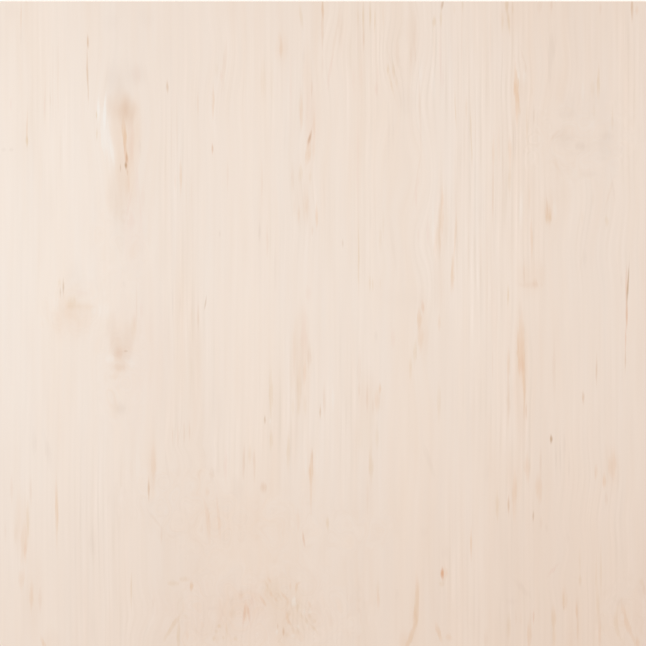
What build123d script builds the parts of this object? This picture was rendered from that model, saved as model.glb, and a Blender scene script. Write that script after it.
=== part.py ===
from build123d import *
from build123d.topology import SkipClean

import os

# Maple plywood sheet, a full panel at its trimmed size.
# The sheet lies flat. X is its width, Y its length and the run of the face grain, Z its thickness.
# The origin is the middle of the underside. Sizes are in millimetres.

INCH = 25.4
FOOT = 12 * INCH

# The trimmed sizes that the sheet is sold by
sheet_thickness = 0.703 * INCH
sheet_width = 3.997 * FOOT
sheet_length = 7.99 * FOOT

# Lay-up: a thin maple veneer on each face, and an odd number of equal core plies between them
veneer_thickness = 0.6
core_ply_count = 5

# The saw leaves each corner almost square, and sanding takes the sharpness off the edges of both faces
corner_radius = 1.0
edge_easing = 0.25


def ply_thicknesses():
    """Every ply from the back to the face: the veneers are fixed, and the core shares what they leave."""
    core_ply = (sheet_thickness - 2 * veneer_thickness) / core_ply_count
    return [veneer_thickness, *[core_ply] * core_ply_count, veneer_thickness]


def pressed_panel():
    """The plies pressed into one solid. Its sawn edges aren't merged, so each ply keeps its own band there."""
    outline = RectangleRounded(sheet_width, sheet_length, corner_radius)
    plies = []
    glue_line = 0.0
    for thickness in ply_thicknesses():
        plies.append(extrude(Pos(0, 0, glue_line) * outline, amount=thickness).solid())
        glue_line += thickness
    underside_ply, *other_plies = plies
    with SkipClean():
        return underside_ply.fuse(*other_plies).solid()


def eased(panel):
    """The panel with the rims of its face and its underside sanded."""
    underside, *_, face = panel.faces().filter_by(Axis.Z).sort_by(Axis.Z)
    return panel.fillet(min(edge_easing, 0.9 * veneer_thickness), underside.edges() + face.edges())


def main():
    sheet = eased(pressed_panel())
    sheet.label = "plywood_sheet"
    os.makedirs("parts", exist_ok=True)
    export_step(sheet, "parts/plywood_sheet.step")
    size = sheet.bounding_box().size
    print(f"{size.X:.2f} x {size.Y:.2f} x {size.Z:.3f} mm, {len(sheet.faces())} faces")


main()
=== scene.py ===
import math
import random

import bmesh
import bpy
import numpy as np
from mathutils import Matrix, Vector, noise


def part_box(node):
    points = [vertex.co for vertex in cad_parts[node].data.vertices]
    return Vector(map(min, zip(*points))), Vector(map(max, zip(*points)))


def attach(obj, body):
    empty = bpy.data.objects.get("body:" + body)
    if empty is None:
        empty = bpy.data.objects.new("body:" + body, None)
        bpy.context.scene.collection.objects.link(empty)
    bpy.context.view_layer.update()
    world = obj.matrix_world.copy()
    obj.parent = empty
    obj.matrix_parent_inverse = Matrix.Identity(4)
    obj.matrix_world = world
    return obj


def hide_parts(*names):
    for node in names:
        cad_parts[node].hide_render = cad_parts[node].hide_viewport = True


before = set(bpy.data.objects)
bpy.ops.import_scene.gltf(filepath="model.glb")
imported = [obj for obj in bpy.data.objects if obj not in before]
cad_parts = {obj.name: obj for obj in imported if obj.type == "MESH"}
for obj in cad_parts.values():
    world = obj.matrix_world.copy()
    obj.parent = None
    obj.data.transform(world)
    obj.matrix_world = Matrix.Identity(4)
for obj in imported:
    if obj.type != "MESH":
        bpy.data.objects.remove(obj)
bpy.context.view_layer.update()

# Maple plywood sheet lying face up. Z is up, Y is the run of the face grain, and every place is in metres
# in the frame's own axes. Marks in the wood are listed in millimetres, as they were measured.

mm = 0.001
nearly = 1e-6  # places nearer than this, in metres, count as the same
sheetLow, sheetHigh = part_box("plywood_sheet")
span = sheetHigh - sheetLow
farEnd = sheetHigh.y  # the end of the sheet that the picture's top edge shows
widthMm, lengthMm = (sheetHigh.x - sheetLow.x) / mm, (sheetHigh.y - sheetLow.y) / mm

sheet = {
    "cell": 10 * mm,  # the mesh's cells, each of which carries the marks that cross it
    "veneer": 0.6 * mm,
    "corePlies": 5,
    "glueLine": 0.16 * mm,
    "glueWander": 0.13 * mm,
    "wandersPerMetre": (9, 31),  # a long wave and a short one
    "glueReach": 0.2 * mm,  # a face of glue lies nearer to its line than this
    "glueFace": 0.3 * mm,  # and is lower than this
    "endGrainDip": 0.08 * mm,  # end grain is sawn a little deeper than long grain
    "ripplesPerMetre": 60,
    "cornerRadius": 1 * mm,
    "easing": 0.25 * mm,
    "markLayers": 5,  # as many marks as can lie over one cell
    "patchLayers": 6,
    "seed": 41,
}
columns, lines = round(span.x / sheet["cell"]), round(span.y / sheet["cell"])
cellSize = np.array(span.xy) / (columns, lines)
levelFrom = 0.7  # a face whose normal's z is at least this belongs to the face or the back
surfaces = ["mapleFace", "mapleBack", "longGrainPly", "endGrainPly", "glueLine"]

# How much of red, green and blue each kind of mark takes away where it is strongest
inks = {
    "bark": (0.175, 0.24, 0.31),
    "umber": (0.105, 0.18, 0.25),
    "rust": (0.085, 0.25, 0.35),
    "orange": (0.06, 0.165, 0.27),
    "tan": (0.06, 0.17, 0.27),
    "ochre": (0.085, 0.145, 0.25),
    "brown": (0.08, 0.15, 0.21),
    "rose": (0.04, 0.12, 0.14),
    "grey": (0.09, 0.105, 0.115),
    # the pale kind takes away less than nothing: a painted highlight, paler and bluer than the wood
    "pale": (-0.02, -0.08, -0.13),
}

# Marks by kind: x from the centre line, start from the far end, length, width, strength in per cent, then
# sideways lean from start to end, bow to the side and taper, which are 0 where left out
marks = {
    "bark": [
        (-10.8, 122, 12, 2.1, 90, -3.2), (113.5, -2, 10, 2, 90, -1.5), (-186.3, 151.5, 7, 2.4, 130, 0.3),
        (-191.3, 153, 8, 1.2, 50), (-185.8, 329.2, 2.1, 3.6, 45), (288.6, 249, 38, 1.5, 130, -1.6),
        (215.5, 409, 8, 2.2, 125), (-55, 391, 8, 1.9, 75), (198.6, 481, 11, 1.6, 70),
        (18.7, 224, 9, 1.5, 36), (199, 98, 22, 1.5, 30), (-0.4, -2, 17, 1.6, 22), (197.5, 80, 10, 1.5, 12),
        (-245, 262, 16, 1.5, 65), (-248, 270, 9, 1.5, 45), (-110, 278, 14, 1.5, 60, -2),
    ],
    "umber": [
        (-222, 32, 13, 2.2, 100), (-223, 48, 44, 2.1, 88, 1.5), (-147, 74, 12, 1.9, 90),
        (-104.4, 134, 10, 1.6, 50), (291.8, -3, 18, 2.3, 98), (291.8, 12, 10, 1.6, 15),
        (-185, 142, 12, 1.8, 110, -0.4), (-185, 158, 7, 1.5, 50, 0.6), (287.1, 282, 24, 1.8, 32, -1),
        (285.5, 328, 21, 1.6, 60), (258.3, 335, 27, 1.9, 68), (-10.2, 423, 14, 2, 45),
        (245.5, 368, 12, 2, 70), (-2.5, 381, 13, 1.6, 80), (-164.5, 452, 19, 2.2, 98),
        (227.5, 570, 5, 2, 40), (175.3, 467, 16, 2.4, 75), (-19, 500, 14, 2.4, 30, 2),
        (-37.2, 591, 8, 2, 85), (-42.8, 587, 6, 1.6, 50), (211, 184, 17, 1.8, 40, 1.2),
        (175, 350, 48, 2.8, 42),
    ],
    "rust": [
        (-187, 136, 22, 3, 34, 2), (287, 250, 40, 2.1, 46, -1), (-10.6, 120, 17, 3.4, 40, -4),
        (94.5, 283, 11, 3, 35), (285.5, 308, 24, 1.6, 45), (286.7, 282, 28, 2, 65),
        (-10.4, 423, 16, 2.8, 16), (-19, 500, 15, 2.8, 35, 2), (112.5, 534, 12, 2.8, 125),
        (113, -2, 9, 2.6, 12, -1.5), (-73.2, 568, 22, 3, 36, -2.6), (-72, 567, 21, 2.8, 34, 3.6),
        (-192, 327, 11, 6, 12), (199, 575, 13, 2.2, 42), (-104.4, 134, 10, 1.7, 30),
        (-281.4, 508, 17, 3.4, 22), (187, 335, 18, 5, 20),
    ],
    "orange": [
        (-188.8, 113, 33, 4.8, 84, 3.4), (-0.4, -2, 19, 2.4, 60), (-41, 29, 11, 3.4, 16, 1),
        (-39.6, 37, 16, 3.6, 40, 0.6), (181.5, 57, 50, 5.8, 108, 2, 0, 0.5), (177, 128, 28, 4, 35),
        (-134.3, 150, 32, 2.5, 50), (-103.4, 80, 28, 2.6, 54, -0.6), (112.4, 175, 22, 3, 34),
        (112, 190, 34, 6, 36, -2), (110, 212, 30, 7.4, 26, -3), (126, 200, 43, 2, 38, -2),
        (123, 241, 31, 4, 62, -1.5), (91, 291, 20, 4, 50), (110, 297, 14, 3, 30), (92, 308, 22, 6, 32, 1),
        (186.6, 297, 61, 8.4, 66, 1, 0, 0.12), (189.5, 347, 35, 3, 56, 0.5), (190, 376, 20, 2, 28),
        (53.5, 360, 11, 2.6, 55), (51, 368, 19, 5, 30), (214, 408, 10, 2, 12), (-160, 421, 40, 5.4, 30),
        (-10.9, 432, 23, 4, 62, -0.6), (-11.5, 449, 35, 3, 34), (-17, 340, 22, 3, 30, -1),
        (-251.8, 449, 63, 2.8, 55, 0.6), (203.8, 448, 24, 6.4, 36), (-6, 192, 22, 2.6, 50),
        (-23, 194, 15, 2.6, 25), (181, 447, 38, 4, 42), (114.5, 533, 16, 4, 28), (89, 543, 30, 4.5, 38, 0.3),
        (-282.4, 494, 38, 6, 36, 0.6), (89.3, 566, 29, 5, 40, -3), (86.8, 588, 24, 5, 42, -9),
        (107, 588, 17, 4, 50, 5), (-275, 548, 28, 3.6, 40), (-266, 600, 14, 4, 50, 5),
        (217.8, 571, 21, 4.6, 20), (218.8, 588, 24, 3.4, 12), (227.2, 553, 22, 5.6, 28, 0.4),
        (-73, 568, 16, 5.5, 26), (212.4, 191, 19, 5.4, 48), (175, 327, 29, 3.2, 38), (-105, 440, 12, 5, 12),
        (282.8, 570, 38, 4.4, 42, 13, -1.5), (297, 600, 11, 4.4, 45), (194.4, 584, 28, 5, 42),
        (239.4, 566, 20, 2.2, 50, 0.5), (240.6, 584, 19, 2.4, 30), (261, 578, 34, 3, 34),
        (-124, 548, 9, 4.2, 70), (140, 498, 29, 2.2, 56), (265.8, 446, 14, 4, 50),
        # the orange flecks of the curly patch
        (-60, 560, 11, 2.6, 38, 6), (-50.5, 556, 8, 2.8, 36, 3), (-46, 562, 5, 2.6, 26, 3),
        (-39.4, 558, 7, 2.8, 42, 6), (-32.7, 563, 9, 2.6, 32, -0.4), (-25, 549, 9, 2.6, 42, -0.6),
        (-21, 548, 3, 2.4, 30, -4.5), (-31, 548, 9, 2.2, 30), (-34.4, 576, 11, 4, 42, 1.6),
        (-32.6, 584, 6, 3.2, 46, 3), (-52.6, 544, 5, 2.2, 34, 3.6), (-56, 566, 6, 2.4, 26, 2),
        (-14, 566, 7, 2.4, 28, 3), (-16, 177, 31, 6, 20), (116.6, 535, 9, 2.4, 28),
    ],
    "tan": [
        (-285, -2, 30, 2, 35), (-279, 104, 30, 2.2, 40, -0.5), (-118, 88, 19, 2.5, 26),
        (-20.6, 87, 32, 4, 46), (-13, 132, 24, 5, 42, -3), (-8, 108, 23, 3, 25), (-9, 131, 20, 3, 18),
        (70, 34, 30, 4, 12), (296.5, 4, 9, 3, 30), (161, 128, 29, 3, 30), (166, 118, 38, 3, 12),
        (-183.4, 162, 22, 2, 18, 0.8), (-139, 164, 15, 2, 20), (197, 205, 37, 2.6, 40),
        (195, 176, 20, 2.5, 20), (193, 427, 26, 5.6, 36), (-111.4, 473, 35, 4.6, 34, 4, 1),
        (-100, 468, 40, 3, 26, 3), (-284, 536, 20, 6, 30), (-24, 480, 20, 4, 18), (273.6, 424, 29, 8, 34),
        (258, 438, 14, 3.4, 34), (119, 597, 7, 6, 30), (52, 556, 18, 3.2, 34), (-128, 594, 9, 3, 25),
        (-109, 459, 8, 4, 26),
    ],
    "ochre": [
        (-279.5, 126, 10, 2.8, 70), (-213.5, 103, 8, 1.5, 60), (-213.5, 119, 12, 1.5, 50),
        (-249, 262, 8, 3, 25), (-100.5, 59, 12, 3, 15), (-22, 2, 24, 3, 35, 3), (-56, 58, 34, 5, 20),
        (-48, 58, 44, 4, 12), (38, 2, 28, 2.2, 60), (49, 7, 22, 2, 48), (33, 4, 22, 2, 25),
        (44.5, 1, 24, 1.8, 60), (57, 4, 23, 2, 20), (66.2, 58, 15, 2.5, 38, 1), (69, 70, 11, 2.5, 25, 1),
        (61, 59, 10, 2.6, 50), (62, 68, 21, 2.5, 35, 5), (105, 14, 10, 3.4, 50), (111.5, 5, 21, 2, 50),
        (105, 20, 41, 3, 15), (124.5, 86, 35, 1.6, 45, 1.5), (135.5, 89, 22, 2, 28),
        (139, 99, 57, 1.7, 50, 1.5), (131.5, -2, 13, 2, 30), (124, 3, 9, 2, 18), (173.7, -2, 13, 4, 68),
        (174.5, 9, 21, 3, 50, 1.6), (169.5, 11, 17, 2, 32), (179, 1, 11, 2.4, 35), (260, 60, 32, 2.6, 50),
        (273.5, 102, 19, 2, 34), (254, 74, 15, 4, 18), (256, 94, 17, 3, 15), (192.5, 99, 37, 2, 32),
        (33.7, 208, 64, 1.9, 50), (44, 259, 14, 2, 42), (47, 261, 12, 1.5, 32), (54, 261, 10, 1.5, 20),
        (57, 199, 27, 2.5, 20), (54, 209, 27, 2.5, 18), (-12, 159, 14, 2.5, 25), (-21, 154, 17, 4, 30),
        (176, 154, 27, 3, 36), (213, 200, 9, 6, 30), (175, 267, 21, 2.5, 60), (255, 179, 14, 3, 15),
        (245, 199, 10, 3, 15), (268, 202, 11, 4, 34), (-237, 278, 13, 7, 26), (-226, 286, 4, 22, 6),
        (-22, 346, 35, 4, 28, -1), (-17, 372, 19, 3, 22), (-23, 376, 15, 3, 25), (-28, 374, 17, 3, 25),
        (-49.5, 352, 42, 4, 44), (-49, 405, 20, 3, 40), (87.6, 320, 22, 4, 46, -1), (82.4, 336, 21, 3.2, 32),
        (109.3, 363, 33, 3.6, 30), (45.2, 421, 33, 4, 42), (-33, 405, 36, 3.6, 40), (51, 399, 27, 3, 24),
        (-278.5, 474, 35, 3, 42), (-181, 541, 32, 1.6, 50), (-69, 419, 17, 2.6, 30), (-141, 547, 5, 10, 36),
        (-131, 543, 5, 9, 30), (4.5, 487, 12, 3, 48), (112.5, 547, 6, 4, 34), (52, 547, 15, 3, 22),
        (164.5, 464, 27, 3, 38), (175.5, 578, 24, 3.6, 30), (301, 544, 8, 4, 30), (242.5, 517, 26, 2.4, 20),
        (242.5, 541, 11, 3, 42), (262.3, 512, 50, 2, 34), (258.2, 524, 36, 2.4, 25),
        (259.6, 554, 28, 3.4, 42), (279.2, 570, 34, 4.4, 38, 3, -4.5), (174, 579, 22, 3, 12),
        (-134.5, 578, 25, 4.2, 48, -16), (-136.4, 583, 29, 3.6, 48), (-134, 560, 22, 8, 16),
        (-130, 578, 5, 4, 24), (-85, 573, 10, 8, 24), (-55, 547, 8, 2, 30, 3.6), (-49.6, 548, 6, 2, 18, -3),
        (-52.6, 554, 5, 3, 14), (-42, 558, 8, 2.4, 24, 3), (-22.4, 566, 10, 3, 34, -1.4),
        (-30.5, 576, 5, 4, 30, -3), (-34, 595, 6, 3, 32), (-24, 592, 6, 3.4, 28), (-22, 576, 7, 2.4, 28, 4),
        (-12.5, 578, 5, 3, 26), (-8, 583, 4, 3, 26), (-16, 582, 6, 2.6, 26, 1.5), (-13, 586, 11, 2.4, 34, 8),
        (-29, 590, 7, 2.6, 22, 2), (-20, 588, 6, 2.4, 8, 3), (-57, 572, 4, 3, 18), (-91, 584, 21, 2.2, 28),
        (-103, 599, 5, 3, 40), (-94, 599, 4, 3, 30), (-82.5, 599, 5, 3, 38), (-97, 588, 4, 3, 50, -1.5),
        (-100, 593, 4, 3, 44, -1), (217.9, 573, 18, 3.6, 34), (218.2, 586, 26, 2.6, 34),
        (227.2, 557, 18, 4.4, 34), (88.6, 554, 43, 3.2, 28, -1.5), (86.4, 590, 22, 3.6, 24, -8),
    ],
    "brown": [
        (-257.5, 87, 12, 1.5, 25), (-10.5, 75, 16, 1.5, 50), (-0.5, 12, 33, 2.6, 60), (38, 27, 19, 2.2, 60),
        (83, 39, 22, 2, 24), (87, 39, 22, 2, 26), (216, -2, 13, 2.5, 45), (204, -2, 14, 5, 22),
        (262, 1, 12, 3, 30), (160.5, 153, 59, 1.9, 55), (-91, 38, 46, 3.4, 30, -4), (-52.5, 211, 30, 2, 34),
        (-57.5, 154, 37, 2, 28), (-29, 154, 27, 3, 30), (-27, 189, 12, 2.5, 14), (-14.5, 182, 24, 4, 20),
        (-10, 211, 10, 2.5, 36), (-118, 284, 27, 2, 36), (-124, 289, 17, 2, 16), (191, 59, 10, 2, 28),
        (185, 39, 28, 2, 18, 8), (190, 245, 23, 3, 36), (200, 262, 9, 5, 32), (196, 265, 6, 22, 22),
        (192, 379, 17, 2, 60), (-192, 342, 7, 11, 30), (-197, 352, 5, 14, 14), (-13.5, 324, 22, 4, 42),
        (-27, 309, 42, 3, 22), (1, 361, 25, 2.5, 20), (42, 361, 30, 2.5, 34), (34, 361, 12, 2.5, 30),
        (47, 374, 17, 2.5, 30), (1.5, 364, 29, 3, 24), (-74.5, 419, 32, 3, 52), (-65, 424, 27, 3, 48),
        (-56, 454, 10, 6, 60), (-142, 400, 18, 1.7, 30), (-137, 398, 20, 1.7, 34), (-131, 398, 18, 1.8, 42),
        (-126, 396, 18, 1.8, 40), (-181, 434, 17, 3, 12), (205.5, 422, 29, 2.4, 34),
        (-275.5, 451, 23, 3, 30), (-294, 449, 25, 2.5, 25), (-290, 494, 17, 3, 18), (-300, 489, 22, 3, 18),
        (-267, 554, 22, 3, 32), (-160, 561, 12, 3, 20), (-166, 480, 18, 3, 22, 14), (-152.5, 495, 17, 2, 34),
        (-78, 556, 10, 4, 30), (196, 574, 15, 2, 16), (182, 574, 16, 2.4, 18), (187, 577, 13, 2.4, 16),
        (303, 549, 12, 4, 35), (267.5, 464, 12, 3, 38), (154, 594, 17, 4, 24), (160, 329, 30, 1.5, 30),
        (206, 487, 12, 3, 26), (16, 8, 54, 3, 20, -9), (58, 36, 60, 2.2, 16, 16), (88, 15, 73, 3.4, 16, -7),
        (90, 55, 95, 1.8, 24, 3), (93, 140, 50, 1.8, 24, -8), (125, 150, 90, 1.8, 14, 1),
        (131, 8, 54, 1.5, 20), (144, 100, 50, 1.5, 18), (-0.5, 48, 22, 2, 20), (158, 0, 70, 1.5, 20),
        (155, 200, 100, 1.5, 20), (149, 205, 85, 1.5, 14), (170, 100, 100, 1.5, 18), (137, 200, 70, 1.5, 12),
        (-90, 150, 30, 2.2, 26), (218.3, 322, 50, 3.4, 28), (34, 328, 38, 3.5, 22), (42, 452, 30, 2.2, 24),
        (248, 228, 34, 2.5, 8, -8), (275, 165, 35, 2.2, 20, -10), (-176, 268, 34, 2, 30),
        (-250, 30, 80, 1.4, 20), (-255, 40, 90, 1.4, 18), (-262, 60, 60, 1.4, 16), (-248, 120, 45, 1.4, 14),
        (-138, 90, 60, 1.4, 20), (-143, 95, 65, 1.4, 18), (-129, 160, 50, 1.4, 16), (-124, 165, 35, 1.4, 14),
    ],
    "rose": [
        (-263, 81, 35, 1.5, 30), (-294.5, 89, 14, 2, 25), (-176, 60, 18, 9, 20), (-96, 65, 10, 3, 30),
        (-30.5, 58, 54, 2, 26), (33, 98, 107, 2.2, 20), (9, 47, 39, 3, 28, -5), (29, 62, 22, 3, 16),
        (35.5, 59, 27, 3, 10), (51.5, 59, 19, 2.4, 18), (50.6, 76, 14, 3, 40), (111, 24, 52, 2.6, 30),
        (112, 59, 27, 4, 20), (-176, 159, 32, 3, 25), (-170, 174, 22, 3, 20), (-181, 199, 17, 6, 25),
        (91, 164, 16, 2, 28, -3), (88, 177, 19, 3, 32), (99, 204, 27, 3, 28), (90, 214, 12, 3, 22),
        (-14, 269, 14, 5, 22), (-18, 289, 22, 8, 22), (-178, 294, 17, 3, 25), (-171, 284, 17, 3, 22),
        (-227, 272, 7, 13, 14), (-18, 306, 26, 8, 28), (66, 309, 17, 4, 25), (-92, 424, 27, 4, 36),
        (222, 531, 12, 3.4, 36, -10), (-67, 560, 12, 3.4, 30), (-181, 112, 42, 6, 30),
        (-176, 150, 64, 2.4, 20, 5), (-180, 176, 30, 2.4, 26, -6),
    ],
    "grey": [
        (-285, 27, 14, 2, 30), (-301, 138, 4, 4, 35), (-294, 138, 4, 4, 35), (-93, 39, 27, 3, 15),
        (-18, 44, 17, 2.5, 25), (62, 89, 57, 3, 28), (66, 99, 42, 2.5, 22), (218.4, 28, 30, 7.4, 34, -4),
        (214.5, 50, 34, 3.5, 30), (180.8, 104, 54, 3.4, 50), (243, 133, 8, 12, 36), (232, 126, 6, 14, 16),
        (236, 141, 5, 14, 12), (268, 123, 8, 16, 24), (252, 160, 6, 14, 20), (231, 103, 8, 15, 20),
        (262, 146, 5, 12, 14), (181, 546, 16, 6, 30, 14), (178, 563, 7, 10, 20), (281, 563, 8, 15, 26),
        (-60, 209, 18, 2, 50), (-104, 571, 4, 12, 20), (-101, 560, 3, 16, 12), (-86.5, 561, 11, 4, 28),
        (-188, 263, 8, 4, 25), (-97.5, 216, 7, 2, 40), (-45, 234, 37, 3, 22), (-142, 271, 30, 2, 25),
        (-135, 274, 25, 2, 20), (-105, 440, 12, 5, 35), (-173, 130, 16, 2.4, 30, 1), (63, 204, 52, 4, 18, 6),
        (45, 194, 22, 3, 18), (186, 284, 17, 3, 25), (282, 257, 12, 3, 25), (272, 164, 27, 3, 25, 4),
        (247, 234, 17, 4, 28), (-191, 379, 10, 8, 30), (-192, 360, 6, 8, 14), (-273, 405, 23, 5, 30),
        (-263, 408, 32, 6, 28, 6), (50, 311, 10, 3, 28), (95, 417, 34, 5, 26, 10), (-149, 424, 28, 3, 28, 4),
        (155, 434, 22, 3, 20), (95, 496, 10, 8, 15), (115, 514, 12, 8, 15), (70, 555, 10, 4, 22),
        (224, 407, 46, 1.8, 38), (228, 407, 26, 1.8, 36), (232, 428, 24, 1.8, 36), (220, 416, 30, 1.8, 30),
        (211, 492, 9, 3, 28), (230, 502, 9, 5, 15), (-218, 499, 27, 6, 22), (-217, 574, 32, 5, 20),
    ],
    # painted highlights: pale, bluish streaks and flecks laid over the wood
    "pale": [
        (-211.5, 90, 24, 3, 70), (-205, 88, 30, 3.4, 90, -1), (-208, 104, 43, 6, 66, 2),
        (-203.4, 114, 38, 4, 46, 2), (-200.8, 125, 30, 3.4, 55, 3.2), (-205, 184, 27, 5, 8),
        (184.5, 61, 20, 3, 50), (190, 62, 18, 3, 35), (245.5, 74, 22, 3, 25), (254, 111, 10, 8, 20),
        (104, 189, 47, 3, 30), (219, 189, 15, 4, 35), (187, 178, 34, 5, 30), (-252, 274, 22, 6, 25),
        (-207, 283, 18, 14, 22), (-201, 333, 9, 8, 40), (-181, 336, 10, 6, 35), (-175, 419, 37, 4, 25),
        (-6, 424, 28, 3, 25), (-16, 424, 28, 3, 35), (-50, 393, 6, 2.4, 40), (-27, 562, 10, 4.8, 95),
        (-28.5, 582, 4, 3.4, 30), (-23.5, 588, 4, 3, 50), (-18.8, 583, 5, 2.8, 50), (-17.5, 573, 6, 2.6, 40),
        (-12, 574, 5, 2.8, 35), (-14.5, 587, 5, 3, 40), (-28, 597, 4, 4, 40), (-43.8, 592, 6, 2.4, 60),
        (9.5, 364, 23, 2.4, 35), (92, 58, 24, 4, 20), (104, 62, 33, 5, 20),
    ],
}

# Broad soft stains, listed as the marks are
patches = {
    "grey": [
        (-187, 57, 29, 38, 32), (-175, 60, 18, 18, 14), (-199, 66, 26, 20, 34), (-295, 2, 16, 16, 15),
        (-200, 12, 16, 16, 15), (-166, 7, 16, 16, 15), (78, 84, 24, 22, 24), (-193, 196, 40, 14, 20),
        (-191, 378, 14, 18, 20), (238, 122, 23, 48, 20), (223, 120, 18, 17, 22), (244, 131, 11, 14, 14),
        (234, 125, 9, 12, 14), (228, 90, 22, 20, 17), (266, 120, 30, 18, 12), (250, 82, 32, 42, 18),
        (268, 104, 52, 22, 30), (262, 170, 130, 70, 8), (77, 272, 20, 38, 14), (162, 154, 74, 9, 26),
        (145, 552, 51, 10, 26), (-99, 360, 47, 13, 24), (-81, 450, 20, 12, 30), (-232, 246, 30, 20, 24),
        (139, 332, 110, 10, 28),
    ],
    "rose": [
        (-178, 190, 54, 24, 24), (-170, 270, 130, 60, 14), (-12, 82, 52, 14, 20), (-80, 545, 67, 170, 16),
    ],
    "ochre": [
        (-236, 281, 11, 14, 20), (-31, 550, 56, 44, 28), (-100, 585, 21, 40, 10), (-178, 298, 20, 6, 30),
        (-49, 546, 22, 18, 28), (42, 390, 34, 22, 16),
    ],
    "tan": [
        (-236, 276, 42, 38, 28), (-228, 285, 7, 26, 14), (-238, 288, 15, 14, 22), (-18, 150, 64, 20, 20),
        (-20, 300, 94, 20, 28), (-187, 108, 62, 22, 44), (-176, 98, 62, 10, 30), (-181, 146, 46, 11, 28),
        (-196, 104, 36, 11, 28), (-70, 556, 24, 28, 26), (-90, 560, 30, 24, 24), (77, 596, 20, 11, 28),
        (44, 356, 38, 22, 20), (131, 110, 116, 18, 15), (-15.6, 42, 52, 9, 24), (-12, 90, 60, 10, 20),
        (94, 280, 50, 10, 20), (113, 170, 70, 10, 20), (187, 298, 102, 13, 26), (182, 55, 55, 9, 14),
        (-285, 470, 50, 14, 22), (-162, 415, 50, 9, 20), (-11, 420, 55, 13, 12), (178, 425, 50, 16, 14),
        (272, 420, 42, 16, 18), (86, 545, 67, 10, 10), (-90, 470, 45, 110, 14), (-39, 30, 26, 12, 20),
        (212, 180, 32, 14, 16), (195, 246, 28, 26, 20), (176, 0, 30, 16, 14),
    ],
    "brown": [
        (83.5, 11, 32, 11, 28), (17, 8, 39, 5, 24), (-186, 92, 24, 21, 80), (-192, 157, 50, 20, 50),
        (-187, 307, 28, 24, 42), (-191, 320, 32, 10, 32), (-192, 341, 9, 17, 28), (-190.5, 326, 12, 12, 34),
        (-194, 86, 26, 22, 65), (110, 242, 54, 10, 18), (-274, 520, 96, 22, 20), (-256, 594, 22, 18, 20),
        (162, 238, 80, 9, 22), (-28, 394, 42, 14, 22), (-184, 317, 17, 11, 24), (298, 555, 45, 11, 20),
        (189, 72, 23, 10, 20), (-199, 292, 26, 13, 28),
    ],
}
listedWidth, listedLength = 612, 611  # the stretch that the lists above cover, in millimetres

# Marks that the unseen stretches and the underside get at random: how often each kind comes, its lengths,
# widths and strengths
strayKinds = {
    "bark": (0.05, (8, 30), (1.4, 2.2), (0.3, 0.9)),
    "umber": (0.07, (8, 34), (1.4, 2.2), (0.3, 0.9)),
    "rust": (0.04, (10, 24), (2, 4), (0.3, 0.6)),
    "orange": (0.14, (14, 50), (2, 6), (0.3, 0.7)),
    "tan": (0.12, (12, 40), (2, 5), (0.2, 0.45)),
    "ochre": (0.24, (10, 40), (1.5, 5), (0.2, 0.5)),
    "brown": (0.17, (10, 40), (1.5, 5), (0.2, 0.5)),
    "rose": (0.08, (12, 60), (2, 6), (0.2, 0.4)),
    "grey": (0.07, (10, 40), (2, 7), (0.2, 0.45)),
    # pale marks here are painted highlights too
    "pale": (0.03, (15, 60), (3, 6), (0.2, 0.4)),
}
strays = {
    "mark": {"perSquareMetre": 640, "growth": 1, "weaken": 1},
    "patch": {"perSquareMetre": 26, "growth": 6, "weaken": 0.35},
}
strayShape = {"weakPower": 1.3, "lean": 0.03, "taper": 0.6}

# The outline of every mark: its half width by its listed width, how soon it fades towards its ends, its least
# size and strength, then how much longer and wider than drawn it counts where the strongest marks are chosen
outline = {
    "halfPerWidth": 0.62,
    "tail": 0.25,
    "thinnest": 0.1,
    "faintest": 0.001,
    "longer": 1.15,
    "wider": 1.3,
    "leastHalfWidth": 1.6 * mm,
}


def markRow(kind, x, start, run, width, strength, lean=0, bow=0, taper=0, side=1):
    # a mark as numbers: middle, direction, half sizes, bow, taper, ink, and 1 for the face or -1 for the back
    head = np.array((x * mm, farEnd - start * mm))
    foot = np.array(((x + lean) * mm, farEnd - (start + run) * mm))
    length = float(np.hypot(*(foot - head)))
    middle, direction = (head + foot) / 2, (foot - head) / length
    ink = [share * strength for share in inks[kind]]
    halfWidth = outline["halfPerWidth"] * width * mm
    return [*middle, *direction, length / 2, halfWidth, bow * mm / halfWidth, taper, *ink, side]


def listedRows(groups):
    return [markRow(kind, x, start, run, width, percent / 100, *rest)
            for kind, rows in groups.items() for x, start, run, width, percent, *rest in rows]


def countFor(perSquareMetre):
    return int(widthMm * lengthMm * perSquareMetre / 1e6)


def isListed(x, start, halfWidth=0, halfLength=0):
    return abs(x) <= listedWidth / 2 + halfWidth and start <= listedLength + halfLength


def strayRows(rng, side, perSquareMetre, growth, weaken):
    # random marks outside the stretch whose marks are listed above
    rows = []
    weights = [kind[0] for kind in strayKinds.values()]
    for _ in range(countFor(perSquareMetre)):
        kind = rng.choices(list(strayKinds), weights)[0]
        _, lengths, widths, strengths = strayKinds[kind]
        x, start = rng.uniform(-widthMm / 2, widthMm / 2), rng.uniform(-10, lengthMm)
        run = rng.uniform(*lengths) * growth
        strength = rng.uniform(*strengths) ** strayShape["weakPower"] * weaken
        lean, wide = rng.gauss(0, strayShape["lean"]) * run, rng.uniform(*widths) * growth
        taper = rng.uniform(-strayShape["taper"], strayShape["taper"])
        if side < 0 or not isListed(x, start):
            rows.append(markRow(kind, x, start, run, wide, strength, lean, 0, taper, side))
    return rows


def alongAndAcross(rows, x, y):
    # a place in each mark's own measure: -1 and 1 are its two ends, and its two sides
    dx, dy = x - rows[:, 0], y - rows[:, 1]
    along = (dx * rows[:, 2] + dy * rows[:, 3]) / rows[:, 4]
    across = (dy * rows[:, 2] - dx * rows[:, 3]) / rows[:, 5]
    return along, across


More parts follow.
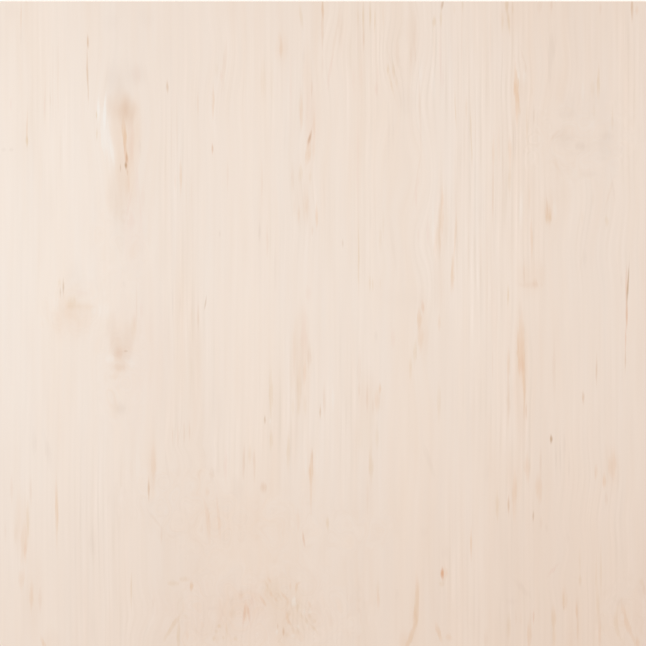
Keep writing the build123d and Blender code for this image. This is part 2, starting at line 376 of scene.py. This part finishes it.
def showing(row, x, y):
    # about how strongly a mark shows at some places
    wide = row.copy()
    wide[4] *= outline["longer"]
    wide[5] = max(outline["wider"] * row[5], outline["leastHalfWidth"])
    along, across = alongAndAcross(wide[None, :], x, y)
    across = across - row[6] * row[5] / wide[5] * (1 - along ** 2)
    size = np.maximum((1 + row[7] * along) / (1 + abs(row[7])), outline["thinnest"])
    tail = np.clip(1 - outline["tail"] * along ** 2, outline["faintest"], 1)
    return np.clip(1 - (across / size / tail) ** 2, 0, 1) * tail ** 3 * size * np.abs(row[8:11]).max()


def cellOf(places):
    # the column and line of the grid cell that a place lies in
    return np.clip((places - sheetLow.xy) / cellSize, 0, (columns - 1, lines - 1)).astype(int)


def strongestPerCell(rows, layers):
    # for every cell of the grid, the numbers of the marks that show most in it
    found = {}
    steps = np.arange(5) / 4  # the places in a cell that are looked at
    for number, row in enumerate(rows):
        # as far as its tails and its bow can reach
        extent = np.abs(row[2:4]) * row[4] * 2.1 + 1.4 * max(row[5], 1 * mm) + 3 * abs(row[6]) * row[5]
        low, high = cellOf(row[:2] - extent), cellOf(row[:2] + extent)
        for column in range(low[0], high[0] + 1):
            for line in range(low[1], high[1] + 1):
                x, y = np.meshgrid(sheetLow.x + (column + steps) * cellSize[0],
                                   sheetLow.y + (line + steps) * cellSize[1])
                seen = showing(row, x.ravel(), y.ravel()).max()
                if seen > outline["faintest"]:
                    found.setdefault((column, line), []).append((seen, number))
    table = np.full((layers, columns, lines), len(rows))
    for (column, line), entries in found.items():
        for layer, (_, number) in enumerate(sorted(entries, reverse=True)[:layers]):
            table[layer, column, line] = number
    crowded = sum(len(entries) > layers for entries in found.values())
    print(f"  {len(rows)} marks over {len(found)} cells, {crowded} of them crowded")
    return table


def plyHeights():
    # the glue lines from the back to the face
    corePly = (sheetHigh.z - sheetLow.z - 2 * sheet["veneer"]) / sheet["corePlies"]
    return [sheetLow.z + sheet["veneer"] + number * corePly for number in range(sheet["corePlies"] + 1)]


def isUpright(edge):
    run = edge.verts[1].co - edge.verts[0].co
    return abs(run.z) > 10 * max(abs(run.x), abs(run.y))


def isCorner(place):
    return abs(abs(place.x) - sheetHigh.x) < nearly and abs(abs(place.y) - sheetHigh.y) < nearly


def slabMesh():
    # a grid drawn up into a slab, with its corners and rims eased and its sides cut into plies
    bm = bmesh.new()
    bmesh.ops.create_grid(bm, x_segments=columns, y_segments=lines, size=0.5)
    bmesh.ops.scale(bm, vec=(span.x, span.y, 1), verts=bm.verts)
    bmesh.ops.translate(bm, vec=(0, 0, sheetLow.z), verts=bm.verts)
    drawn = bmesh.ops.extrude_face_region(bm, geom=bm.faces[:])["geom"]
    bmesh.ops.translate(bm, vec=(0, 0, span.z), verts=[g for g in drawn if isinstance(g, bmesh.types.BMVert)])
    bmesh.ops.recalc_face_normals(bm, faces=bm.faces)
    easing = {"affect": "EDGES", "profile": 0.5, "material": -1}
    uprights = [e for e in bm.edges if isUpright(e) and isCorner(e.verts[0].co)]
    bmesh.ops.bevel(bm, geom=uprights, offset=sheet["cornerRadius"], segments=3, **easing)
    rims = [e for e in bm.edges if abs(e.calc_face_angle() - math.pi / 2) < 0.02 and not isUpright(e)]
    bmesh.ops.bevel(bm, geom=rims, offset=sheet["easing"], segments=2, **easing)
    for glue in plyHeights():
        for height in (glue - sheet["glueLine"] / 2, glue + sheet["glueLine"] / 2):
            bmesh.ops.bisect_plane(bm, geom=bm.verts[:] + bm.edges[:] + bm.faces[:], dist=1e-7,
                                   plane_co=(0, 0, height), plane_no=(0, 0, 1))
    bm.normal_update()
    return bm


def roughenSides(bm):
    # glue lines wander a little, and the end grain between them lies a little lower
    moves = []
    for v in bm.verts:
        for number, glue in enumerate(plyHeights()):
            offset = v.co.z - glue
            if abs(abs(offset) - sheet["glueLine"] / 2) > nearly:
                continue
            outward = Vector((v.normal.x, v.normal.y, 0)).normalized()
            ply = number + 1 if offset > 0 else number  # counted from the veneer of the back
            run = v.co.x - v.co.y
            # the glue line's height picks another part of the noise for each
            slow, quick = [noise.noise((run * often, glue * 400, apart))
                           for often, apart in zip(sheet["wandersPerMetre"], (0.5, 2.5))]
            endGrain = outward.x ** 2 if ply % 2 else outward.y ** 2
            ripple = 0.7 + 0.6 * noise.noise((run * sheet["ripplesPerMetre"], glue * 300, 7.5))
            dip = sheet["endGrainDip"] * endGrain * ripple
            moves.append((v, Vector((0, 0, sheet["glueWander"] * (slow + 0.5 * quick))) - outward * dip))
    for v, move in moves:
        v.co += move


def giveMaterials(bm):
    # each face by the way it looks and the ply it belongs to
    glues = plyHeights()
    for face in bm.faces:
        z, normal = face.calc_center_median().z, face.normal
        heights = [v.co.z for v in face.verts]
        ply = sum(z > glue for glue in glues)
        apart = min(abs(z - glue) for glue in glues)
        if abs(normal.z) > levelFrom:
            kind = "mapleFace" if normal.z > 0 else "mapleBack"
        elif max(heights) - min(heights) < sheet["glueFace"] and apart < sheet["glueReach"]:
            kind = "glueLine"
        else:
            kind = "endGrainPly" if bool(ply % 2) == (abs(normal.x) > abs(normal.y)) else "longGrainPly"
        face.material_index = surfaces.index(kind)


def readAll(items, name, width=1):
    # one whole number for each item, or a few measures
    values = np.empty(len(items) * width, dtype=float if width > 1 else np.int32)
    items.foreach_get(name, values)
    return values.reshape(-1, width) if width > 1 else values


class Corners:
    # the finished mesh's face corners as arrays
    def __init__(self, mesh):
        self.mesh = mesh
        self.place = readAll(mesh.vertices, "co", 3)[readAll(mesh.loops, "vertex_index")]
        sizes = readAll(mesh.polygons, "loop_total")
        self.middle, self.normal, self.material = [
            np.repeat(readAll(mesh.polygons, name, width), sizes, axis=0)
            for name, width in (("center", 3), ("normal", 3), ("material_index", 1))]
        self.level = np.abs(self.normal[:, 2]) > levelFrom
        self.onLongSide = np.abs(self.normal[:, 0]) > np.abs(self.normal[:, 1])

    def store(self, name, *values):
        # three arrays make a vector, and four a colour
        kind = "vector" if len(values) == 3 else "color"
        data = self.mesh.attributes.new(name, "FLOAT_" + kind.upper(), "CORNER").data
        data.foreach_set(kind, np.stack(values, 1).astype(np.float32).ravel())


def storeMarks(corners, name, rows):
    # for each layer and corner: where it lies along and across the mark, and the mark's ink
    rows = np.array(rows)
    layers = sheet[name + "Layers"]
    column, line = cellOf(corners.middle[:, :2]).T
    blank = [0, 9, 1, 0, 1 * mm, 1 * mm, 0, 0, 0, 0, 0, 0]  # where there is no mark: far away and without ink
    chosen = np.full((layers, len(corners.place)), len(rows))
    for side, surface in ((1, "mapleFace"), (-1, "mapleBack")):
        own = rows[:, 11] == side
        numbers = np.append(np.flatnonzero(own), len(rows))
        table = strongestPerCell(rows[own], layers)
        here = corners.material == surfaces.index(surface)
        chosen[:, here] = numbers[table[:, column[here], line[here]]]
    everyRow = np.vstack([rows, blank])
    for layer in range(layers):
        row = everyRow[chosen[layer]]
        along, across = alongAndAcross(row, corners.place[:, 0], corners.place[:, 1])
        corners.store(f"{name}Place{layer}", along, across, row[:, 6])
        corners.store(f"{name}Ink{layer}", *row[:, 8:11].T, row[:, 7])


# Areas of the grain, each an oval: the middle's x and distance from the far end, half width and half length,
# then how clearly its fine lines show, its slope (sideways travel over distance from the far end), how many
# millimetres it is pushed to both sides, or how much it curls
grainAreas = {
    "lines": [
        (-258, 95, 22, 85, 0.8), (-232, 105, 10, 32, 0.35), (-135, 160, 18, 80, 0.8), (-96, 70, 34, 46, 0.9),
        (-36, 85, 28, 58, 0.85), (-14, 190, 18, 56, 1), (-46, 228, 18, 40, 0.7), (-136, 288, 18, 38, 0.7),
        (-126, 345, 20, 60, 0.85), (-140, 405, 20, 16, 0.8), (-90, 425, 34, 28, 0.8),
        (-30, 385, 32, 58, 0.9), (-210, 492, 30, 66, 1), (-200, 585, 34, 30, 0.8), (-288, 500, 20, 66, 0.7),
        (288, 512, 16, 34, 0.8), (40, 55, 22, 60, 0.9), (86, 55, 28, 62, 0.76), (155, 60, 48, 66, 1),
        (143, 200, 26, 110, 0.85), (12, 50, 16, 56, 0.4), (38, 200, 14, 100, 0.75), (110, 235, 18, 70, 1.1),
        (184, 170, 22, 76, 1.05), (250, 45, 52, 46, 0.4), (288, 85, 14, 90, 0.6), (212, 210, 12, 56, 0.4),
        (264, 215, 38, 48, 0.5), (160, 255, 24, 60, 0.95), (198, 230, 14, 34, 0.6), (30, 380, 24, 78, 0.85),
        (136, 375, 18, 28, 0.6), (182, 405, 24, 104, 0.95), (225, 430, 16, 24, 0.7),
        (250, 400, 44, 100, 0.25), (257, 462, 30, 34, 0.6), (130, 545, 26, 70, 0.7), (180, 586, 34, 32, 0.7),
        (255, 575, 40, 42, 0.6), (40, 580, 30, 30, 0.4), (-60, 580, 70, 36, 0.9), (-110, 492, 34, 24, 0.8),
    ],
    "slope": [
        (258, 212, 44, 40, -0.16), (222, 90, 26, 45, -0.2), (252, 470, 42, 34, -0.14),
        (226, 532, 24, 22, -0.3), (66, 75, 12, 42, 0.32), (91, 62, 14, 52, -0.2), (64, 225, 10, 36, 0.25),
        (90, 195, 15, 50, -0.25), (-98, 75, 24, 46, -0.15), (-128, 426, 22, 15, 0.6),
        (-20, 180, 22, 50, 0.1), (95, 300, 14, 50, -0.14), (-160, 590, 24, 24, -0.5), (8, 30, 14, 40, -0.25),
    ],
    "push": [
        (-188, 112, 26, 52, 9), (-192, 345, 20, 44, 6), (-234, 288, 24, 22, 5), (183, 85, 12, 30, 3),
        (187, 340, 14, 40, 3), (75, 165, 24, 40, 3), (75, 420, 26, 60, 3), (-12, 135, 12, 26, 3),
        (285, 582, 14, 24, 6),
    ],
    "curl": [
        (-58, 584, 66, 38, 1), (-112, 490, 32, 24, 0.7), (-32, 496, 30, 22, 0.4), (30, 500, 32, 14, 0.3),
        (284, 580, 16, 24, 0.5), (245, 132, 40, 28, 0.25), (-190, 232, 24, 44, 0.1),
        (-234, 290, 26, 18, 0.25), (-191, 352, 20, 42, 0.2), (-140, 465, 40, 20, 0.2),
    ],
}
# Areas of clearer lines that come at random elsewhere: their half widths, half lengths and strengths
strayLines = {"perSquareMetre": 70, "ranges": [(14, 48), (30, 110), (0.3, 1.2)]}


def areaShare(area, x, distance):
    # 1 in the middle of an oval area, and falling softly outside it
    reach = ((x - area[0]) / area[2]) ** 2 + ((distance - area[1]) / area[3]) ** 2
    return np.exp(-reach ** 1.5)


def strayAreas(rng):
    # areas of clearer lines for the stretches that are not listed
    areas = []
    for _ in range(countFor(strayLines["perSquareMetre"])):
        x, distance = rng.uniform(-widthMm / 2, widthMm / 2), rng.uniform(0, lengthMm)
        halfWidth, halfLength, strength = [rng.uniform(*limits) for limits in strayLines["ranges"]]
        if not isListed(x, distance, halfWidth, halfLength):
            areas.append((x, distance, halfWidth, halfLength, strength))
    return areas


def storeGrain(corners, rng):
    # how far the grain is bent aside at each corner, how clearly its lines show, and how much it curls, with
    # the same areas turned half round on the underside
    x, distance = corners.place[:, 0] / mm, (farEnd - corners.place[:, 1]) / mm
    under = corners.level & (corners.normal[:, 2] < 0)
    distance = np.where(under, lengthMm - distance, distance)
    clear, curl = [sum(areaShare(area, x, distance) * area[4] for area in areas)
                   for areas in (grainAreas["lines"] + strayAreas(rng), grainAreas["curl"])]
    clear = np.minimum(maple["plainLines"] + clear, maple["clearest"])
    bend = np.zeros_like(x)
    for area in grainAreas["slope"]:
        bend -= area[4] * (distance - area[1]) * areaShare(area, x, distance)
    for area in grainAreas["push"]:
        bend -= area[4] * 2 * (x - area[0]) / area[2] * areaShare(area, x, distance)
    corners.store("grainField", bend * mm, clear, curl)


def storeEdgePlaces(corners):
    # on the sawn sides: how far along the side, how high, and which ply
    run = np.where(corners.onLongSide, corners.place[:, 1], corners.place[:, 0])
    ply = (corners.middle[:, 2:3] > np.array(plyHeights())[None, :]).sum(1)
    corners.store("edgePlace", run, corners.place[:, 2], ply)


# Shares of a square picture that each part of the surface takes in the sheet's UV map
bakeMap = {
    "gap": 0.004,
    "widths": {"face": 0.680, "back": 0.196, "right": 0.032, "left": 0.032, "ends": 0.032},
    "endLength": 0.495,
    "farEndFrom": 0.505,
}


def storeBakeMap(corners):
    # a UV map for a square picture: the face, the back, both long sides and the two ends side by side
    share = (corners.place - np.array(sheetLow)) / np.array(span)
    x, y, z = corners.normal.T
    level, onLongSide = corners.level, corners.onLongSide
    regions = {
        "face": level & (z > 0),
        "back": level & (z < 0),
        "right": ~level & onLongSide & (x > 0),
        "left": ~level & onLongSide & (x < 0),
        "ends": ~level & ~onLongSide,
    }
    across = np.where(level, share[:, 0], share[:, 2])
    up = np.where(regions["ends"], share[:, 0] * bakeMap["endLength"], share[:, 1])
    up = np.where(regions["ends"] & (y > 0), up + bakeMap["farEndFrom"], up)
    places = np.empty((len(share), 2))
    gap = bakeMap["gap"]
    start = gap
    for name, width in bakeMap["widths"].items():
        chosen = regions[name]
        places[chosen, 0] = start + across[chosen] * width
        start += width + gap
    places[:, 1] = gap + up * (1 - 2 * gap)
    layer = corners.mesh.uv_layers.new(name="OFBake")
    layer.data.foreach_set("uv", places.astype(np.float32).ravel())


def operator(operation):
    # what a sign such as + does with a value
    return lambda value, other: calc(operation, value, other)


class Value:
    # an output of a node, so that sums in materials are written as they are for numbers
    __add__, __sub__, __mul__ = operator("ADD"), operator("SUBTRACT"), operator("MULTIPLY")
    __truediv__, __pow__ = operator("DIVIDE"), operator("POWER")

    def __init__(self, socket):
        self.socket = socket
        self.tree = socket.id_data
        self.isVector = socket.type != "VALUE"

    def __rsub__(self, other):
        return calc("SUBTRACT", other, self)


white, half = (1, 1, 1), (0.5, 0.5, 0.5)


def feed(socket, value):
    if isinstance(value, Value):
        value.tree.links.new(value.socket, socket)
    else:
        socket.default_value = value


def add(tree, kind, sockets=None, **settings):
    made = tree.nodes.new("ShaderNode" + kind)
    for name, value in settings.items():
        setattr(made, name, value)
    for name, value in (sockets or {}).items():
        feed(made.inputs[name], value)
    return made


def read(tree, kind, output, sockets=None, **settings):
    return Value(add(tree, kind, sockets, **settings).outputs[output])


def isVector(value):
    return value.isVector if isinstance(value, Value) else isinstance(value, tuple)


def calc(operation, *values):
    # a sum on numbers or on vectors, where only a product may mix the two: it scales the vector
    tree = next(value.tree for value in values if isinstance(value, Value))
    vectors = [value for value in values if isVector(value)]
    numbers = [value for value in values if not isVector(value)]
    if vectors and numbers:
        sockets = {"Vector": vectors[0], "Scale": numbers[0]}
        return read(tree, "VectorMath", 0, sockets, operation="SCALE")
    kind = "VectorMath" if vectors else "Math"
    return read(tree, kind, 0, dict(enumerate(values)), operation=operation)


def parts(vector):
    return [Value(socket) for socket in add(vector.tree, "SeparateXYZ", {"Vector": vector}).outputs]


def ramp(value, low, high, toLow=0, toHigh=1, interpolation="SMOOTHSTEP"):
    # a step from one level to another, smooth unless it is asked for straight
    sockets = {"Value": value, "From Min": low, "From Max": high, "To Min": toLow, "To Max": toHigh}
    return read(value.tree, "MapRange", "Result", sockets, interpolation_type=interpolation)


# Noise by use: how closely it is packed across the sheet, along it and through it, its detail and roughness
noises = {
    "sway": (1.3, 2.2, 60, 2, 0.5),
    "swirl": (38, 30, 60, 1, 0.6),
    "cloud": (4, 1.6, 60, 3, 0.6),
    "striae": (12, 1, 720, 4.2, 1),
    "blush": (12, 1, 720, 4.5, 0.9),
    "hairline": (210, 5.25, 12600, 2, 0.8),
    "ringShare": (26, 3, 60, 1, 0.5),
    "ringWander": (30, 1.4, 60, 1.5, 0.5),
    "broken": (150, 20, 60, 2, 0.5),
    "wide": (60, 14, 60, 2, 0.5),
    "fine": (420, 45, 60, 2, 0.5),
    "hair": (900, 60, 60, 1, 0.5),
    "pores": (380, 22.8, 22800, 2, 0.6),
    # on the sawn sides: along the side, up it and from ply to ply
    "longGrainPly": (105, 1500, 1500, 4, 0.65),
    "endGrainPly": (1500, 1500, 1500, 4, 0.65),
    "glueLine": (210, 700, 700, 4, 0.65),
    "drift": (3, 120, 1, 3, 0.6),
    "saw": (900, 108, 0, 2, 0.7),
}


def grain(place, name, output="Fac"):
    *packing, detail, roughness = noises[name]
    sockets = {"Vector": place * tuple(packing), "Scale": 1, "Detail": detail, "Roughness": roughness}
    return read(place.tree, "TexNoise", output, sockets)


def curveOf(value, low, high, points):
    # a drawn curve: points are (place, level) pairs, and low and high are the places at its two ends
    made = add(value.tree, "FloatCurve", {"Value": ramp(value, low, high, interpolation="LINEAR")})
    curve = made.mapping.curves[0]
    made.mapping.use_clip = False
    places = [((place - low) / (high - low), level) for place, level in sorted(points)]
    while len(curve.points) < len(places):
        curve.points.new(0.5, 0.5)
    for point, place in zip(curve.points, places):
        point.location = place
    made.mapping.update()
    return Value(made.outputs["Value"])


def bumped(shader, height, depth):
    sockets = {"Height": height, "Distance": depth, "Strength": 1}
    feed(shader.inputs["Normal"], read(height.tree, "Bump", "Normal", sockets))


def newMaterial(name):
    material = bpy.data.materials.new(name)
    material.use_nodes = True
    tree = material.node_tree
    return material, tree, tree.nodes["Principled BSDF"]


def stainAndHighlightGroup():
    # one mark over a colour: its shape from where the corner lies in it, its colour from its ink, and for a
    # pale mark a painted highlight
    tree = bpy.data.node_groups.new("stainAndHighlight", "ShaderNodeTree")
    kinds = {"Colour": "Color", "Place": "Vector", "Ink": "Color", "Taper": "Float", "Ragged": "Vector",
             "Slimming": "Float", "Fading": "Float", "Fibre": "Float"}
    for name, kind in kinds.items():
        tree.interface.new_socket(name, in_out="INPUT", socket_type="NodeSocket" + kind)
    tree.interface.new_socket("Colour", in_out="OUTPUT", socket_type="NodeSocketColor")
    given = tree.nodes.new("NodeGroupInput").outputs
    colour, place, ink, taper, ragged, slimming, fading, fibre = [Value(given[name]) for name in kinds]
    along, sideways, bow = parts(place + ragged)
    falling = 1 - along * along
    across = sideways - bow * falling
    size = calc("MAXIMUM", (taper * along + 1) / (calc("ABSOLUTE", taper) + 1), outline["thinnest"])
    # a mark fades out in tails as long again as the mark itself
    tail = calc("MAXIMUM", falling * outline["tail"] + (1 - outline["tail"]), outline["faintest"])
    ratio = across / (size * tail ** slimming)
    mask = ramp(1 - ratio * ratio, 0, 1) * tail ** fading
    kept = white - ink * (mask * size * fibre)
    result = tree.nodes.new("NodeGroupOutput")
    feed(result.inputs["Colour"], colour * kept)
    return tree


def stainedAndHighlighted(colour, name, ragged, streaks):
    # the colour with every layer of marks over it, ragged by one noise and streaky by another
    drawn = maple[name]
    ragged = (ragged - half) * drawn["ragged"]
    fibre = (streaks - 0.5) * drawn["streaks"] + drawn["gain"]
    for layer in range(sheet[name + "Layers"]):
        ink = add(colour.tree, "Attribute", attribute_name=f"{name}Ink{layer}").outputs
        sockets = {
            "Colour": colour, "Ink": Value(ink["Color"]), "Taper": Value(ink["Alpha"]),
            "Place": read(colour.tree, "Attribute", "Vector", attribute_name=f"{name}Place{layer}"),
            "Ragged": ragged, "Slimming": drawn["slimming"], "Fading": drawn["fading"], "Fibre": fibre,
        }
        colour = read(colour.tree, "Group", "Colour", sockets, node_tree=stainAndHighlight)
    return colour


maple = {
    "pale": (0.902, 0.794, 0.703),
    # the warming scales with the tone, which includes painted shade
    "warming": (0.075, 0.120, 0.151),  # what a tone of 1 takes away
    # tone and painted shade by place across the sheet and along it, in millimetres as the marks are: partly
    # the wood's own tone, partly painted shade, darker and warmer towards the right and away from the far end
    "toneAndShadeAcross": [
        (-609, 0.45), (-450, 0.28), (-305, 0.10), (-240, 0.25), (-150, 0.43), (-60, 0.54), (30, 0.55),
        (90, 0.65), (150, 0.73), (210, 0.93), (305, 0.99), (450, 0.8), (609, 0.55),
    ],
    "toneAndShadeAlong": [
        (0, 0.32), (40, 0.22), (110, 0.08), (220, 0), (320, 0.12), (420, 0.30), (510, 0.60), (610, 0.82),
        (800, 1.1), (1150, 0.4), (1500, 0.15), (1900, 0.75), (2200, 0.6), (2436, 0.3),
    ],
    "toneCloud": 0.23,
    "deepening": {"mapleFace": 0, "mapleBack": 0.35},
    "sway": 9 * mm,
    "curlReach": 24 * mm,
    "striae": 0.22,
    "darkStriae": 0.005,
    "darkPower": 7,
    "darkMean": 1.2,
    "striaeTint": (0.25, 0.53, 0.81),
    "blushTint": (0.07, 0.02, -0.04),
    "plainLines": 0.22,  # how clearly the fine lines show outside the areas listed for them
    "clearest": 1.5,
    "hairlines": 0.20,
    "lineTint": (0.48, 0.55, 0.70),
    "ringPitch": 5.2 * mm,
    "ringWander": 9 * mm,
    "rings": 0.052,
    "ringShare": (0.32, 0.62),  # the levels of its noise between which the rings come in
    "breaks": (0.30, 0.66, 0.35, 1.75),  # the same for the lines, then their least and most strength
    # how far the ragged outline moves a mark's ends and its sides, how soon it grows slim and fades towards
    # its ends, how streaky it is and how strong
    "patch": {"ragged": (1, 1.2, 0), "slimming": 1, "fading": 3, "streaks": 1.4, "gain": 1},
    "mark": {"ragged": (0.9, 1.6, 0), "slimming": 2, "fading": 4, "streaks": 1.2, "gain": 1.25},
    "roughness": 0.56,
    "roughnessSwing": 0.12,
    "specular": 0.25,
    "fibreDepth": 0.008 * mm,
}


def veneerMaterial(name):
    # sanded maple: a slow change of tone that is partly painted shade, fine striae, faint rings, and the
    # marks, the pale ones painted highlights
    material, tree, shader = newMaterial(name)
    place = read(tree, "TexCoord", "Object")
    bend, clear, curl = parts(read(tree, "Attribute", "Vector", attribute_name="grainField"))
    aside = (grain(place, "sway") - 0.5) * maple["sway"] + bend
    swirl = grain(place, "swirl", "Color") - half
    sideways = read(tree, "CombineXYZ", "Vector", {"X": aside})
    fibrePlace = place + sideways + swirl * (curl * maple["curlReach"])

    x, y, _ = parts(place)
    across = [(at * mm, toneAndShade) for at, toneAndShade in maple["toneAndShadeAcross"]]
    along = [(farEnd - at * mm, toneAndShade) for at, toneAndShade in maple["toneAndShadeAlong"]]
    # the two tone curves are partly the wood's own tone and partly painted shade, darker and warmer towards
    # the right and away from the far end
    toneAndShade = curveOf(x, sheetLow.x, sheetHigh.x, across) + curveOf(y, sheetLow.y, sheetHigh.y, along)
    toneAndShade = (grain(place, "cloud") - 0.5) * maple["toneCloud"] + toneAndShade
    toneAndShade = toneAndShade + maple["deepening"][name]
    colour = (white - toneAndShade * maple["warming"]) * maple["pale"]

    # dark striae stand out more than pale ones, so part of the noise is raised to a power
    noisy = grain(fibrePlace, "striae")
    sharp = (noisy * 2) ** maple["darkPower"] - maple["darkMean"]
    striae = (noisy - 0.5) * maple["striae"] + sharp * maple["darkStriae"]
    apart = fibrePlace + (3.7, 1.9, 0.4)  # another stretch of the noise
    blush = grain(apart, "blush") - 0.5
    # rings are drawn narrow and dark, a few millimetres apart and never quite evenly
    hairline = grain(apart, "hairline") - 0.5
    ringShare = ramp(grain(fibrePlace, "ringShare"), *maple["ringShare"])
    wandering = parts(fibrePlace)[0] + grain(fibrePlace, "ringWander") * maple["ringWander"]
    wave = calc("SINE", wandering * (2 * math.pi / maple["ringPitch"])) * 0.5 + 0.5
    rings = (wave ** 2 - 0.375) * ringShare  # less the square's mean
    fineLines = rings * maple["rings"] + hairline * maple["hairlines"]
    # every line comes and goes along its run
    broken = grain(fibrePlace, "broken")
    fineLines = fineLines * (clear * ramp(broken, *maple["breaks"]))
    shade = striae * maple["striaeTint"] + blush * maple["blushTint"] + fineLines * maple["lineTint"]
    colour = colour * (white - shade)

    hair = grain(place, "hair")
    colour = stainedAndHighlighted(colour, "patch", grain(place, "wide", "Color"), broken)
    # the pale marks among these are painted highlights
    colour = stainedAndHighlighted(colour, "mark", grain(place, "fine", "Color"), hair)
    feed(shader.inputs["Base Color"], colour)

    shader.inputs["Specular IOR Level"].default_value = maple["specular"]
    feed(shader.inputs["Roughness"], (hair - 0.5) * maple["roughnessSwing"] + maple["roughness"])
    bumped(shader, hair + grain(fibrePlace, "pores"), maple["fibreDepth"])
    return material


plies = {
    "longGrainPly": {"colour": (0.74, 0.59, 0.42), "depth": 0.05 * mm, "latheChecks": False},
    "endGrainPly": {"colour": (0.55, 0.40, 0.26), "depth": 0.06 * mm, "latheChecks": True},
    "glueLine": {"colour": (0.17, 0.105, 0.06), "depth": 0.03 * mm, "latheChecks": False},
}
sawing = {
    "fibres": 0.55,
    "drift": 0.35,
    "saw": 0.25,
    "checkPitch": 2.1 * mm,
    "checkSlant": 0.7,
    "checkWander": 9,
    "checkFrom": 0.93,
    "checkDarkening": 0.22,
    "roughness": 0.72,
    "specular": 0.2,
}


def plyMaterial(name):
    # a sawn ply, with its pattern laid along the side
    material, tree, shader = newMaterial(name)
    place = read(tree, "Attribute", "Vector", attribute_name="edgePlace")
    own = place * (1, 1, 7.3)  # every ply has its own stretch of the pattern
    fibres, drift, saw = grain(own, name), grain(own, "drift"), grain(place, "saw")
    lightness = (fibres - 0.5) * sawing["fibres"] + 1
    lightness = lightness + (drift - 0.5) * sawing["drift"] + (saw - 0.5) * sawing["saw"]
    if plies[name]["latheChecks"]:
        # the fine slanting checks that peeling leaves across a ply
        x, y, _ = parts(place)
        slanted = (y * sawing["checkSlant"] + x) * (2 * math.pi / sawing["checkPitch"])
        checks = ramp(calc("SINE", drift * sawing["checkWander"] + slanted), sawing["checkFrom"], 1)
        lightness = lightness - checks * sawing["checkDarkening"]
    feed(shader.inputs["Base Color"], lightness * plies[name]["colour"])
    shader.inputs["Roughness"].default_value = sawing["roughness"]
    shader.inputs["Specular IOR Level"].default_value = sawing["specular"]
    bumped(shader, fibres + saw, plies[name]["depth"])
    return material


def placed(name, data):
    made = bpy.data.objects.new(name, data)
    bpy.context.collection.objects.link(made)
    return made


def meshPiece(name, bm):
    mesh = bpy.data.meshes.new(name)
    bm.to_mesh(mesh)
    bm.free()
    return placed(name, mesh)


def makeSheet():
    bm = slabMesh()
    giveMaterials(bm)
    roughenSides(bm)
    piece = meshPiece("sheetDressed", bm)
    corners = Corners(piece.data)
    rng = random.Random(sheet["seed"])
    for name, groups in (("mark", marks), ("patch", patches)):
        rows = listedRows(groups)
        for side in (1, -1):
            rows += strayRows(rng, side, *strays[name].values())
        storeMarks(corners, name, rows)
    storeGrain(corners, rng)
    storeEdgePlaces(corners)
    storeBakeMap(corners)
    for name in surfaces:
        piece.data.materials.append(veneerMaterial(name) if name in maple["deepening"] else plyMaterial(name))
    faces = piece.data.polygons
    print("sheet", len(faces), "faces", sum(len(face.vertices) - 2 for face in faces), "triangles")
    return piece


def seenDirectly(tree):
    # 1 for what the camera sees, also in a shine or through glass
    rays = add(tree, "LightPath").outputs
    straight, glossy, through = [Value(rays[f"Is {way} Ray"]) for way in ("Camera", "Glossy", "Transmission")]
    return calc("MAXIMUM", calc("MAXIMUM", straight, glossy), through)


stage = {
    "floorHalf": 6,
    "floorTint": (1, 0.985, 0.97),
    "floorUnseen": 0.78,
    "domeLevel": 0.55,
    "keyShare": 0.45,
    "keyTilt": 42,
    "keyTurn": 205,
    "keySpread": 20,
}


def makeStage():
    # a wide pale floor, white where the camera sees it lit
    bm = bmesh.new()
    bmesh.ops.create_grid(bm, x_segments=1, y_segments=1, size=stage["floorHalf"])
    floor = meshPiece("studioFloor", bm)
    material, tree, shader = newMaterial("floorPaint")
    shown = seenDirectly(tree) * (1 - stage["floorUnseen"]) + stage["floorUnseen"]
    feed(shader.inputs["Base Color"], shown * stage["floorTint"])
    shader.inputs["Roughness"].default_value = 1
    shader.inputs["Specular IOR Level"].default_value = 0
    floor.data.materials.append(material)

    world = bpy.data.worlds.new("studioWorld")
    bpy.context.scene.world = world
    world.use_nodes = True
    world.cycles.sampling_method = "NONE"  # an even dome needs no guided sampling
    sky = world.node_tree.nodes["Background"].inputs
    seen = seenDirectly(world.node_tree)
    feed(sky["Strength"], seen * (1 - stage["domeLevel"]) + stage["domeLevel"])
    # the sky looks like the lit floor, so that the floor's edge does not show
    feed(sky["Color"], seen * tuple(share - 1 for share in stage["floorTint"]) + white)

    lamp = bpy.data.lights.new("keyLamp", "SUN")
    lamp.angle = math.radians(stage["keySpread"])
    tilt = math.radians(stage["keyTilt"])
    lamp.energy = stage["keyShare"] * math.pi / math.cos(tilt)
    placed("keyLamp", lamp).rotation_euler = (tilt, 0, math.radians(stage["keyTurn"]))


view = {
    "width": 0.6098,  # how much of the sheet's width the picture shows
    "height": 2.2,
    "pixels": 646,
    "endRow": 1.3,  # the row along which the end of the sheet lies
}


def makeCamera():
    # straight down on the far end of the sheet, so that its end lies along the picture's top edge
    data = bpy.data.cameras.new("camera")
    data.sensor_width = 36
    data.lens = data.sensor_width * view["height"] / view["width"]
    camera = placed("camera", data)
    overlap = view["width"] / view["pixels"] * view["endRow"]
    camera.location = (0, farEnd + overlap - view["width"] / 2, sheetHigh.z + view["height"])
    bpy.context.scene.camera = camera


def clearStart():
    for name in ("Cube", "Light", "Camera"):
        if name in bpy.data.objects:
            bpy.data.objects.remove(bpy.data.objects[name])


clearStart()
bpy.context.scene.view_settings.view_transform = "Standard"
makeCamera()
makeStage()
print("camera and stage made")
stainAndHighlight = stainAndHighlightGroup()
dressed = makeSheet()
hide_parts("plywood_sheet")
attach(dressed, "root")
